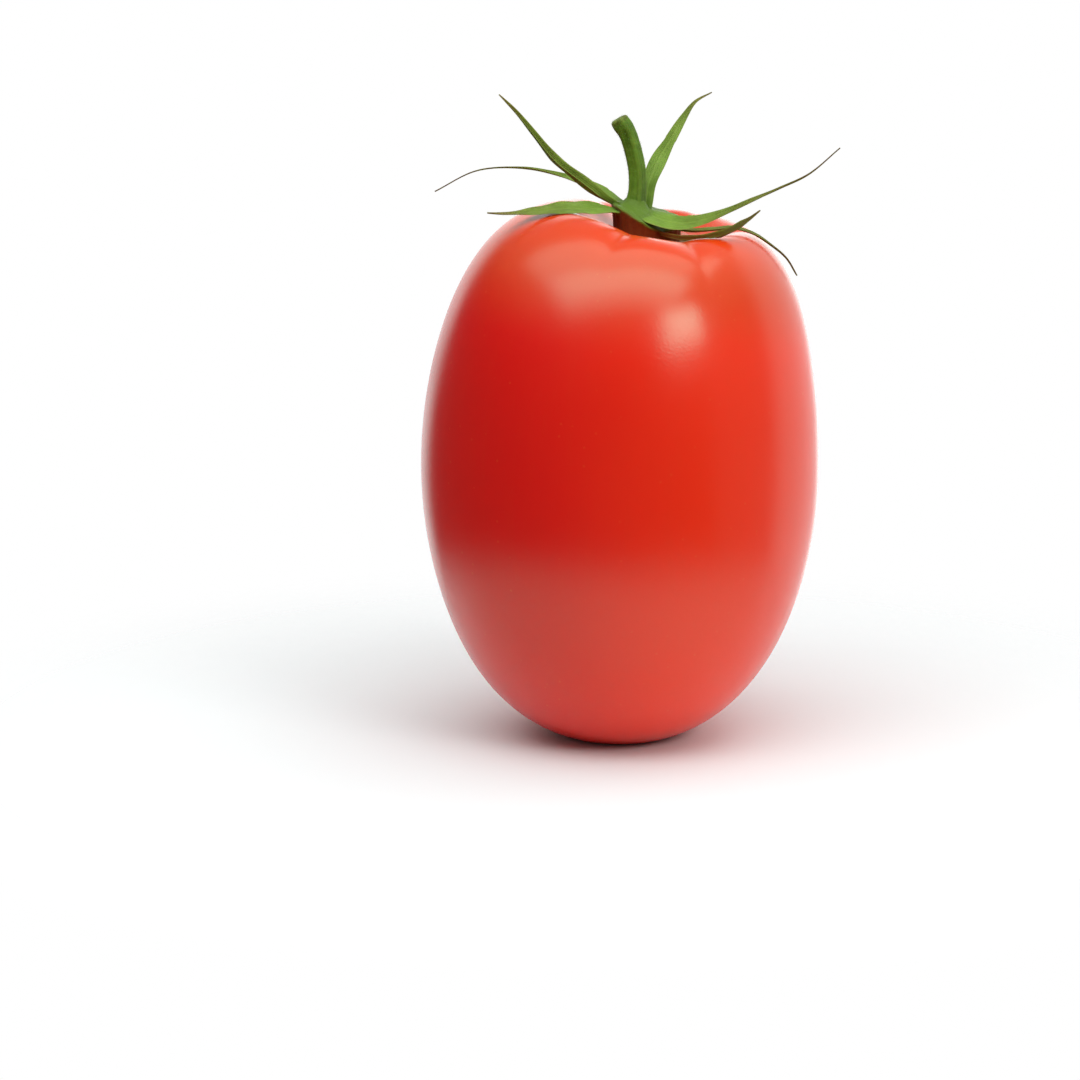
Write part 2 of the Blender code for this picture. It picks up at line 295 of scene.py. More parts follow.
class Nodes:
    """Builds the nodes of a material or of the world."""

    def __init__(self, owner: Material | bpy.types.World) -> None:
        """Starts on the owner's own nodes.

        Args:
            owner: The material or the world.
        """
        owner.use_nodes = True
        self.tree = owner.node_tree
        self.shader = self.tree.nodes.get("Principled BSDF")

    @classmethod
    def paint(cls, name: str) -> tuple[Nodes, Material]:
        """Starts a new material.

        Args:
            name: The material's name.

        Returns:
            Its nodes, and the material.
        """
        material = bpy.data.materials.new(name)
        return cls(material), material

    def put(self, socket: Socket, value: object) -> None:
        """Links a socket, or sets it.

        Args:
            socket: The input to feed.
            value: Another node's output, or a number or colour.
        """
        if isinstance(value, Socket):
            self.tree.links.new(value, socket)
        elif isinstance(value, tuple) and len(value) == 3 and socket.type == "RGBA":
            socket.default_value = (*value, 1.0)
        else:
            socket.default_value = value

    def node(self, kind: str, **settings: object) -> bpy.types.Node:
        """Adds a node.

        Args:
            kind: The node's type, without the word ShaderNode.
            **settings: The node's own settings.

        Returns:
            The node.
        """
        made = self.tree.nodes.new("ShaderNode" + kind)
        for name, value in settings.items():
            setattr(made, name, value)
        return made

    def set(self, **inputs: object) -> None:
        """Sets the shader's inputs.

        Args:
            **inputs: Values by the inputs' names, with _ for a space.
        """
        for name, value in inputs.items():
            self.put(self.shader.inputs[name.replace("_", " ")], value)

    def place(self) -> Socket:
        """The point's place in the object, in metres."""
        return self.node("TexCoord").outputs["Object"]

    def trait(self, trait: Trait) -> Socket:
        """A number that the piece carries at each point."""
        return self.node("Attribute", attribute_name=trait.value).outputs["Fac"]

    def maths(self, operation: str, *values: object) -> Socket:
        """Works out a number.

        Args:
            operation: The Math node's operation.
            *values: Its inputs, as numbers or outputs of other nodes.

        Returns:
            The result.
        """
        made = self.node("Math", operation=operation)
        for socket, value in zip(made.inputs, values):
            self.put(socket, value)
        return made.outputs[0]

    def times(self, *values: object) -> Socket:
        """Multiplies two numbers."""
        return self.maths("MULTIPLY", *values)

    def plus(self, *values: object) -> Socket:
        """Adds two numbers."""
        return self.maths("ADD", *values)

    def vectors(self, operation: str, vector: Socket, other: Place, result: str = "Value") -> Socket:
        """Works with a vector and a fixed one.

        Args:
            operation: The Vector Math node's operation.
            vector: The vector.
            other: The fixed vector.
            result: The name of the output that is wanted.

        Returns:
            The result.
        """
        made = self.node("VectorMath", operation=operation)
        self.put(made.inputs[0], vector)
        made.inputs[1].default_value = other
        return made.outputs[result]

    def noise(self, vector: Socket, scale: float, detail: float = 2.0) -> Socket:
        """Soft noise between 0 and 1.

        Args:
            vector: Where to read the noise.
            scale: How many patches there are to a metre of the vector.
            detail: How much finer noise is laid over it.

        Returns:
            The noise.
        """
        made = self.node("TexNoise")
        self.put(made.inputs["Vector"], vector)
        made.inputs["Scale"].default_value = scale
        made.inputs["Detail"].default_value = detail
        return made.outputs["Fac"]

    def cells(self, vector: Socket, scale: float) -> tuple[Socket, Socket]:
        """Scattered cells.

        Args:
            vector: Where to read the cells.
            scale: How many cells there are to a metre.

        Returns:
            The distance from the cell's middle, and the cell's random colour.
        """
        made = self.node("TexVoronoi")
        self.put(made.inputs["Vector"], vector)
        made.inputs["Scale"].default_value = scale
        return made.outputs["Distance"], made.outputs["Color"]

    def remap(self, value: Socket, low: float, high: float, *to: float) -> Socket:
        """Eases a number from one range to another.

        Args:
            value: The number.
            low: The start of its range.
            high: The end of its range.
            *to: What the start and the end become, which is 0 and 1 where it isn't given.

        Returns:
            The new number, held within the new range.
        """
        made = self.node("MapRange", interpolation_type="SMOOTHSTEP")
        names = ("Value", "From Min", "From Max", "To Min", "To Max")
        for name, given in zip(names, (value, low, high, *to)):
            self.put(made.inputs[name], given)
        return made.outputs["Result"]

    def blend(self, share: object, first: object, second: object) -> Socket:
        """Mixes two colours.

        Args:
            share: How much of the second colour there is.
            first: The first colour.
            second: The second colour.

        Returns:
            The mixed colour.
        """
        made = self.node("Mix", data_type="RGBA")
        self.put(made.inputs["Factor"], share)
        self.put(made.inputs[6], first)
        self.put(made.inputs[7], second)
        return made.outputs[2]

    def layers(self, base: object, *over: tuple[object, object]) -> Socket:
        """Lays colours over a base.

        Args:
            base: The lowest colour.
            *over: A share and a colour for each layer, from the lowest.

        Returns:
            The colour that shows.
        """
        for share, colour in over:
            base = self.blend(share, base, colour)
        return base

    def bump(self, height: Socket, distance: float, below: Socket | None = None) -> Socket:
        """Turns a height into a normal.

        Args:
            height: The height, where 1 stands for the distance.
            distance: The relief's depth in metres.
            below: Another bump's normal that this one is laid over.

        Returns:
            The normal.
        """
        made = self.node("Bump")
        made.inputs["Distance"].default_value = distance
        self.put(made.inputs["Height"], height)
        if below is not None:
            self.put(made.inputs["Normal"], below)
        return made.outputs["Normal"]


@dataclass(frozen=True)
class SkinFinish:
    """Glossy ripe skin with cork round the stalk. Painted light and shade make its red darker on the left
    and brighter on the right. Its shoulder is warmer, partly from its own tone and partly from painted
    light.
    """

    # The first two reds are painted light: the brighter red of the lit right side and the darker red of the
    # shaded left side.
    ripe: Colour = (0.94, 0.029, 0.004)
    shaded_left_red: Colour = (0.76, 0.004, 0.003)
    # Orange for the shoulder and the streaks. On the shoulder it is partly painted light.
    warm: Colour = (0.70, 0.046, 0.003)
    fleck: Colour = (0.85, 0.16, 0.04)
    cork: Colour = (0.36, 0.20, 0.08)
    scar: Colour = (0.20, 0.10, 0.04)
    gloss: Colour = (0.35, 1.0, 0.75)
    roughness: Span = (0.20, 0.28)
    cork_roughness: float = 0.85
    wander: float = 8 * MM
    lit_right_span: Span = (-12 * MM, 20 * MM)
    warm_height: Span = (60 * MM, 72 * MM)
    lit_side_lean: float = 0.12
    cork_edge: Span = (7.2 * MM, 5.6 * MM)
    scar_edge: Span = (2.4 * MM, 1.2 * MM)
    thread_share: float = 0.04
    fleck_share: float = 0.12
    fleck_size: Span = (0.16, 0.05)
    fleck_choice: Span = (0.55, 0.9)
    pore_depth: float = 0.012 * MM
    cork_depth: float = 0.3 * MM

    def material(self, stalk: Sequence[float], blossom: Sequence[float]) -> Material:
        """Builds the skin's material.

        Args:
            stalk: The middle of the hollow's floor, in metres.
            blossom: The middle of the blossom scar, in metres.

        Returns:
            The material.
        """
        nodes, material = Nodes.paint("skin_ripe")
        place = nodes.place()
        split = nodes.node("SeparateXYZ")
        nodes.put(split.inputs[0], place)
        right, height = split.outputs["X"], split.outputs["Z"]
        wander = nodes.times(nodes.noise(place, 38, 3), self.wander)
        # The shoulder's orange is partly the fruit's own tone and partly painted light: it leans to the lit
        # right side and dims the red on top, under the overhead lamps.
        high = nodes.plus(height, nodes.times(right, self.lit_side_lean))
        shoulder = nodes.remap(nodes.plus(high, wander), *self.warm_height)
        upright = nodes.vectors("MULTIPLY", place, (1.0, 1.0, 0.07), "Vector")
        threads = nodes.noise(upright, 900, 3)
        near, tint = nodes.cells(place, 620)
        pick = nodes.node("SeparateColor")
        nodes.put(pick.inputs[0], tint)
        picked = nodes.remap(pick.outputs[0], *self.fleck_choice)
        flecks = nodes.times(nodes.remap(near, *self.fleck_size), picked)
        grain = nodes.noise(place, 1500, 4)
        cork_ragged = nodes.times(nodes.noise(place, 420, 3), 3 * MM)
        from_stalk = nodes.vectors("DISTANCE", place, stalk)
        cork = nodes.remap(nodes.plus(from_stalk, cork_ragged), *self.cork_edge)
        scar_ragged = nodes.times(nodes.noise(place, 900, 2), 1.2 * MM)
        from_blossom = nodes.vectors("DISTANCE", place, blossom)
        scar = nodes.remap(nodes.plus(from_blossom, scar_ragged), *self.scar_edge)
        corky = nodes.blend(grain, self.scar, self.cork)
        colour = nodes.layers(
            # Painted light and shade: the red goes from darker on the left to brighter on the right, where
            # the key light falls.
            nodes.blend(nodes.remap(nodes.plus(right, wander), *self.lit_right_span), self.shaded_left_red, self.ripe),
            (shoulder, self.warm),
            (nodes.remap(threads, 0.45, 0.75, 0.0, self.thread_share), self.warm),
            (nodes.times(flecks, self.fleck_share), self.fleck),
            (cork, corky),
            (scar, corky),
        )
        dull = nodes.maths("MAXIMUM", cork, scar)
        polish = nodes.remap(nodes.noise(place, 120, 2), 0.0, 1.0, *self.roughness)
        roughness = nodes.maths("MAXIMUM", polish, nodes.times(dull, self.cork_roughness))
        pores = nodes.bump(nodes.noise(place, 2600, 2), self.pore_depth)
        relief = nodes.bump(nodes.times(grain, dull), self.cork_depth, pores)
        nodes.set(Base_Color=colour, Roughness=roughness, Normal=relief, IOR=1.6, Specular_Tint=self.gloss)
        nodes.set(Subsurface_Weight=0.35, Subsurface_Scale=0.0025, Subsurface_Radius=(1.0, 0.18, 0.08))
        return material


@dataclass(frozen=True)
class LeafFinish:
    """Matt green sepals with a pale rib and veins, drying to brown at tips and edges, with painted shade
    darkening the hub and the sepals' roots.
    """

    green: Colour = (0.16, 0.285, 0.026)
    dark: Colour = (0.11, 0.205, 0.015)
    rib: Colour = (0.22, 0.345, 0.05)
    # Painted shade: the darker green of the hub and the sepals' roots round the stalk's foot.
    hub: Colour = (0.085, 0.165, 0.010)
    brown: Colour = (0.14, 0.030, 0.003)
    straw: Colour = (0.25, 0.22, 0.05)
    under_share: float = 0.2
    rib_share: float = 0.4
    vein_share: float = 0.14
    speck_share: float = 0.08
    root_shade_share: float = 0.85
    edge_share: float = 0.35
    tip_share: float = 0.75
    vein_turns: float = 21.0
    vein_wander: float = 5.0
    grain_depth: float = 0.05 * MM
    vein_depth: float = 0.03 * MM

    def material(self) -> Material:
        """Builds the sepals' material.

        Returns:
            The material.
        """
        nodes, material = Nodes.paint("sepal_green")
        place = nodes.place()
        along = nodes.trait(Trait.ALONG)
        width = nodes.maths("ABSOLUTE", nodes.trait(Trait.ACROSS))
        patches = nodes.remap(nodes.noise(place, 420, 4), 0.32, 0.68)
        rib = nodes.remap(width, 0.16, 0.03)
        wander = nodes.times(nodes.noise(place, 700, 2), self.vein_wander)
        lines = nodes.maths("SINE", nodes.plus(nodes.times(width, self.vein_turns), wander))
        veins = nodes.times(nodes.remap(lines, 0.4, 1.0), nodes.remap(width, 0.12, 0.3))
        specks = nodes.remap(nodes.noise(place, 1100, 3), 0.62, 0.8)
        withered = nodes.blend(nodes.noise(place, 800, 3), self.brown, self.straw)
        colour = nodes.layers(
            nodes.blend(patches, self.dark, self.green),
            (nodes.times(nodes.trait(Trait.UNDER), self.under_share), self.rib),
            (nodes.times(rib, self.rib_share), self.rib),
            (nodes.times(veins, self.vein_share), self.rib),
            (nodes.times(specks, self.speck_share), self.brown),
            # Painted shade darkens the hub and the sepals' roots.
            (nodes.remap(along, 0.13, 0.0, 0.0, self.root_shade_share), self.hub),
            (nodes.remap(width, 0.82, 1.0, 0.0, self.edge_share), self.straw),
            (nodes.remap(along, 0.72, 1.0, 0.0, self.tip_share), withered),
            (nodes.trait(Trait.DRY), self.brown),
        )
        nodes.set(Base_Color=colour, Roughness=nodes.remap(patches, 0.0, 1.0, 0.62, 0.5))
        grain = nodes.bump(nodes.noise(place, 3200, 3), self.grain_depth)
        relief = nodes.bump(nodes.plus(veins, rib), self.vein_depth, grain)
        nodes.set(Normal=relief, Specular_IOR_Level=0.22, Sheen_Weight=0.04, Sheen_Roughness=0.5)
        nodes.set(Subsurface_Weight=0.15, Subsurface_Scale=0.0008, Subsurface_Radius=(0.6, 1.0, 0.2))
        return material


@dataclass(frozen=True)
class StalkFinish:
    """Ribbed green stalk with a tan cut end."""

    green: Colour = (0.105, 0.215, 0.013)
    dark: Colour = (0.07, 0.145, 0.008)
    light: Colour = (0.19, 0.33, 0.03)
    cut: Colour = (0.19, 0.17, 0.045)
    brown: Colour = (0.12, 0.06, 0.02)
    rib_share: float = 0.3
    patch_share: float = 0.4
    grain_depth: float = 0.05 * MM
    thread_depth: float = 0.06 * MM

    def material(self) -> Material:
        """Builds the stalk's material.

        Returns:
            The material.
        """
        nodes, material = Nodes.paint("stalk_green")
        place = nodes.place()
        upright = nodes.vectors("MULTIPLY", place, (1.0, 1.0, 0.12), "Vector")
        threads = nodes.noise(upright, 1300, 4)
        ring = nodes.remap(nodes.noise(place, 1600, 3), 0.35, 0.65)
        patches = nodes.remap(nodes.noise(place, 500, 3), 0.5, 0.75, 0.0, self.patch_share)
        colour = nodes.layers(
            nodes.blend(nodes.remap(threads, 0.35, 0.65), self.dark, self.green),
            (nodes.remap(nodes.trait(Trait.ACROSS), 0.0, 1.0, 0.0, self.rib_share), self.light),
            (patches, self.light),
            (nodes.trait(Trait.DRY), nodes.blend(ring, self.brown, self.cut)),
        )
        nodes.set(Base_Color=colour, Roughness=nodes.remap(threads, 0.3, 0.7, 0.5, 0.66))
        grain = nodes.bump(nodes.noise(place, 3000, 3), self.grain_depth)
        nodes.set(Normal=nodes.bump(threads, self.thread_depth, grain), Specular_IOR_Level=0.22)
        nodes.set(Subsurface_Weight=0.1, Subsurface_Scale=0.0006)
        return material


@dataclass(frozen=True)
class HairFinish:
    """Short pale hairs on the green parts."""

    root: Colour = (0.16, 0.26, 0.06)
    tip: Colour = (0.36, 0.42, 0.20)

    def material(self) -> Material:
        """Builds the hairs' material.

        Returns:
            The material.
        """
        nodes, material = Nodes.paint("hair_pale")
        colour = nodes.blend(nodes.trait(Trait.ALONG), self.root, self.tip)
        nodes.set(Base_Color=colour, Roughness=0.5, Subsurface_Weight=0.1, Subsurface_Scale=0.0004)
        return material


@dataclass
class Fruit:
    """The berry: an outline turned about Z, then lobed, leaned, tilted and hollowed.

    Each furrow has its direction in degrees, its depth and how far out it lies. Each dip
    has its place to the right and to the back, its width, its length and its depth. All
    but the directions are in millimetres.
    """

    girth_radius: float = 26.9 * MM
    girth_height: float = 37.1 * MM
    shoulder_rise: float = 36.2 * MM
    shoulder_power: float = 0.549
    base_drop: float = 37.9 * MM
    base_power: float = 0.86
    crown_shift: float = 2.3 * MM
    crown_tilt: float = math.radians(4.1)
    lobes: int = 3
    lobe_size: float = 0.008
    lobe_turn: float = math.radians(90)
    hollow: tuple[float, float] = (5.0 * MM, -1.0 * MM)
    hollow_depth: float = 4.6 * MM
    hollow_spread: float = 9.4 * MM
    hollow_power: float = 3.4
    fine_crease: float = 0.3
    furrows: Rows = (
        (-113, 0.6, 14.0), (-71, 0.6, 13.5), (5, 0.5, 10.5),
        (65, 0.5, 10.5), (125, 0.5, 10.5), (185, 0.5, 10.5))
    furrow_spread: float = 4.5 * MM
    furrow_width: float = 2.4 * MM
    dips: Rows = (
        (5.0, -11.9, 7.2, 4.5, 1.05), (3.5, 8.5, 4.0, 4.5, 2.3), (-8.0, -5.8, 4.5, 3.6, 0.3))
    ripple: float = 0.05 * MM
    stalk_at: float = 2.6 * MM
    blossom: Place = (-1.5 * MM, 0.8 * MM, 0.0)
    sides: int = 288
    rings_up: int = 150
    rings_down: int = 84
    finish: SkinFinish = field(default_factory=SkinFinish)

    def ring_at(self, angle: float, rise: float, power: float) -> Vector:
        """A place on the outline, above or below the girth.

        Args:
            angle: How far from the girth it is, where a quarter turn reaches the axis.
            rise: How high the axis is reached above the girth.
            power: How full the outline is, fuller where it is smaller.

        Returns:
            Its radius and height.
        """
        radius = self.girth_radius * max(0.0, math.cos(angle)) ** power
        return Vector((radius, self.girth_height + rise * math.sin(angle)))

    def outline(self) -> np.ndarray:
        """Radius and height of each ring, from the flat spot's rim to near the crown.

        Returns:
            One row of radius and height for each ring.
        """

        def shoulder(t: float) -> Vector:
            """The upper outline, from the girth to the crown."""
            return self.ring_at(t * math.pi / 2, self.shoulder_rise, self.shoulder_power)

        def base(t: float) -> Vector:
            """The lower outline, from the flat spot's rim to the girth."""
            angle = math.asin(self.girth_height / self.base_drop) * (1 - t)
            return self.ring_at(angle, -self.base_drop, self.base_power)

        lower = [base(t) for t in even_samples(base, self.rings_down)]
        upper = [shoulder(t) for t in even_samples(shoulder, self.rings_up, 4000)[1:-1]]
        return np.array([tuple(p) for p in lower + upper])

    def crown_drop(self, x: np.ndarray, y: np.ndarray) -> np.ndarray:
        """How far the hollow, its furrows and its fine creases lower the crown.

        Args:
            x: Places to the right.
            y: Places towards the back.

        Returns:
            The drop at each place.
        """
        dx, dy = x - self.hollow[0], y - self.hollow[1]
        away = np.hypot(dx, dy)
        turn = np.arctan2(dy, dx)
        drop = self.hollow_depth * np.exp(-(away / self.hollow_spread) ** self.hollow_power)
        for degrees, depth, reach in self.furrows:
            aside = np.sin(turn - math.radians(degrees)) * away
            ahead = np.cos(turn - math.radians(degrees)) * away
            wide, fine = bell(aside, 0, self.furrow_width), bell(aside, 0, self.furrow_width / 3)
            crease = (1 - self.fine_crease) * wide + self.fine_crease * fine
            drop = drop + depth * MM * crease * bell(ahead, reach * MM, self.furrow_spread)
        for dip_x, dip_y, width, length, depth in self.dips:
            spread = ((x / MM - dip_x) / width) ** 2 + ((y / MM - dip_y) / length) ** 2
            drop = drop + depth * MM * np.exp(-spread)
        return drop

    def ripples(self, turn: np.ndarray, height: np.ndarray) -> np.ndarray:
        """Slow swells of the skin, so that its highlights aren't perfectly even.

        Args:
            turn: Angles round the fruit.
            height: Heights above the resting spot.

        Returns:
            How far each point stands out.
        """
        up = height / self.girth_height
        swell = np.sin(3 * turn + 2.1 * up + 0.4) + 0.8 * np.sin(5 * turn - 3.3 * up + 1.9)
        swell = swell + 0.6 * np.sin(7 * turn + 5.2 * up + 4.0) + 0.5 * np.sin(2 * turn + 7.7 * up)
        return self.ripple * swell * smooth(up, 0.1, 0.5)

    def skin_points(self, radius: np.ndarray, height: np.ndarray, turn: np.ndarray) -> np.ndarray:
        """The skin's points.

        Args:
            radius: The outline's radius at each point.
            height: The outline's height at each point.
            turn: Each point's angle round the fruit.

        Returns:
            The points, with x, y and z in the last place.
        """
        high = np.clip((height - self.girth_height) / self.shoulder_rise, 0, 1)
        low = np.clip(1 - height / self.girth_height, 0, 1)
        swell = self.lobe_size * (1 - low ** 4) * (1 - 0.5 * high ** 4)
        wide = radius * (1 + swell * np.cos(self.lobes * (turn - self.lobe_turn)))
        wide = wide + self.ripples(turn, height) * np.minimum(1, radius / (0.3 * self.girth_radius))
        x = wide * np.cos(turn) + self.crown_shift * high ** 2
        y = wide * np.sin(turn)
        z = height - math.tan(self.crown_tilt) * x * high ** 2
        z = z - self.crown_drop(x, y) * np.minimum(1, 3 * high)
        return np.stack((x, y, z), axis=-1)

    def build(self) -> Piece:
        """Builds and dresses the skin.

        Returns:
            The skin, which replaces the fruit's node.
        """
        outline = self.outline()
        turn = turns(self.sides)
        points = self.skin_points(outline[:, :1], outline[:, 1:], turn[None, :])
        # The tube's top face gives way to a fan that meets at the crown.
        faces = tube_faces(len(outline), self.sides)[:-1]
        crown_height = np.array([self.girth_height + self.shoulder_rise])
        crown = self.skin_points(np.zeros(1), crown_height, np.zeros(1))
        last = (len(outline) - 1) * self.sides
        for k in range(self.sides):
            faces.append((last + k, last + (k + 1) % self.sides, last + self.sides))
        skin = add_mesh("tomato_skin", np.vstack((points.reshape(-1, 3), crown)), faces)
        stalk = self.skin_points(np.array([self.stalk_at]), crown_height, np.zeros(1))[0]
        finish_piece(skin, self.finish.material(stalk, self.blossom), Slot.SKIN)
        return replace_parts(skin, "fruit")


@dataclass(frozen=True)
class Sepal:
    """One sepal: its middle line in millimetres, its blade's sizes and how it sits.

    The line runs from inside the hub to the tip. The width is in millimetres, root
    is the root's share of it, and the roll and fold turn the blade and its edges up.
    """

    name: str
    line: Rows
    width: float
    widest_at: float
    root: float
    taper: float
    roll: float
    fold: float
    twist: float = 0.0
    dry_root: float = 0.0
    dry_tip: float = 0.6
    wave: float = 0.06


SEPALS = (
    Sepal("right_back",
          ((3.3, 0.4, 72.3), (3.7, 1.6, 75.2), (5.0, 3.4, 78.2), (6.9, 6.3, 81.1),
           (8.6, 8.7, 83.6), (10.3, 10.3, 85.7), (12.6, 11.5, 86.9)),
          width=2.45, widest_at=0.3, root=0.85, taper=1.1, roll=35, fold=0.2, dry_tip=0.2, wave=0.03),
    Sepal("left_up",
          ((1.2, -0.4, 72.2), (-1.9, -1.1, 73.9), (-5.6, -1.1, 76.6), (-8.9, -0.3, 79.2),
           (-11.5, 0.4, 82.3), (-13.9, 1.0, 85.2), (-16.3, 1.6, 87.6)),
          width=1.75, widest_at=0.4, root=0.9, taper=0.8, roll=66, fold=0.2, dry_root=0.1, dry_tip=0.3),
    Sepal("left_back",
          ((1.5, 1.2, 72.3), (-1.1, 1.8, 73.4), (-4.3, 3.2, 75.2), (-8.6, 5.4, 76.5),
           (-13.4, 7.6, 77.1), (-19.5, 9.8, 76.4), (-25.2, 11.2, 73.4)),
          width=3.3, widest_at=0.12, root=0.75, taper=4.2, roll=-20, fold=0.2, dry_tip=0.9),
    Sepal("left_front",
          ((2.0, -1.3, 71.6), (-1.2, -2.9, 72.6), (-4.1, -3.8, 72.9), (-7.9, -4.8, 73.0),
           (-11.5, -5.6, 72.75), (-15.3, -6.4, 72.6), (-17.8, -6.9, 72.8)),
          width=4.3, widest_at=0.46, root=0.5, taper=1.15, roll=-17, fold=0.1, dry_tip=0.3),
    Sepal("right_long",
          ((2.6, -1.8, 72.3), (5.2, -4.3, 71.5), (7.9, -5.8, 71.2), (10.8, -6.5, 71.75),
           (14.2, -6.95, 73.1), (17.2, -7.3, 74.5), (20.9, -7.5, 76.2), (24.8, -8.1, 78.2),
           (28.7, -8.5, 81.6)),
          width=4.4, widest_at=0.1, root=0.9, taper=2.6, roll=36, fold=0.1, twist=-20, dry_tip=0.8),
    Sepal("front_low",
          ((4.6, -3.4, 70.0), (6.3, -6.0, 69.7), (8.2, -8.3, 69.55), (10.3, -9.8, 69.75),
           (12.9, -10.2, 70.3), (15.0, -9.4, 71.1), (16.9, -8.6, 72.2), (18.3, -8.2, 73.3)),
          width=1.6, widest_at=0.82, root=0.5, taper=1.0, roll=-50, fold=0.1, dry_root=0.75, dry_tip=0.4),
    Sepal("right_droop",
          ((6.4, -0.8, 70.3), (9.3, -2.2, 69.9), (12.2, -3.6, 70.2), (14.9, -4.5, 70.5),
           (17.6, -4.4, 69.75), (20.0, -3.7, 68.15), (22.2, -2.8, 66.2), (23.7, -1.9, 63.7)),
          width=0.9, widest_at=0.5, root=1.0, taper=1.0, roll=20, fold=0.1, dry_root=0.3, dry_tip=0.5),
)


